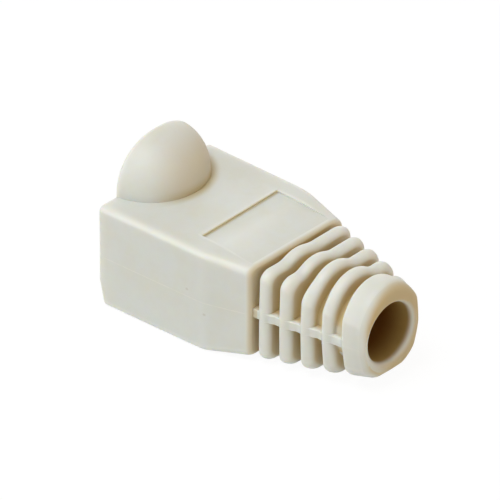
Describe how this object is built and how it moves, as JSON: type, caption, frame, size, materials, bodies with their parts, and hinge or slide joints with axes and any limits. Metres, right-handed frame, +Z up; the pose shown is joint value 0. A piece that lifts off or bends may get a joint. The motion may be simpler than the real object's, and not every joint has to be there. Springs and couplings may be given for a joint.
{
  "type": "modular plug strain relief boot",
  "caption": "Soft moulded boot with a rectangular plug pocket, a domed latch cover, a ribbed tapering tail and a round cable bore.",
  "frame": {"origin": "under the middle of the boot, on the flat bottom of the housing", "axes": "+X from the plug end to the cable end, +Y across, +Z up towards the latch dome"},
  "size_m": [0.027, 0.014, 0.0146],
  "materials": {
    "boot_vinyl": "satin soft moulded vinyl in warm ivory grey"
  },
  "bodies": {
    "root": {"boot": "boot_vinyl"}
  },
  "joints": []
}
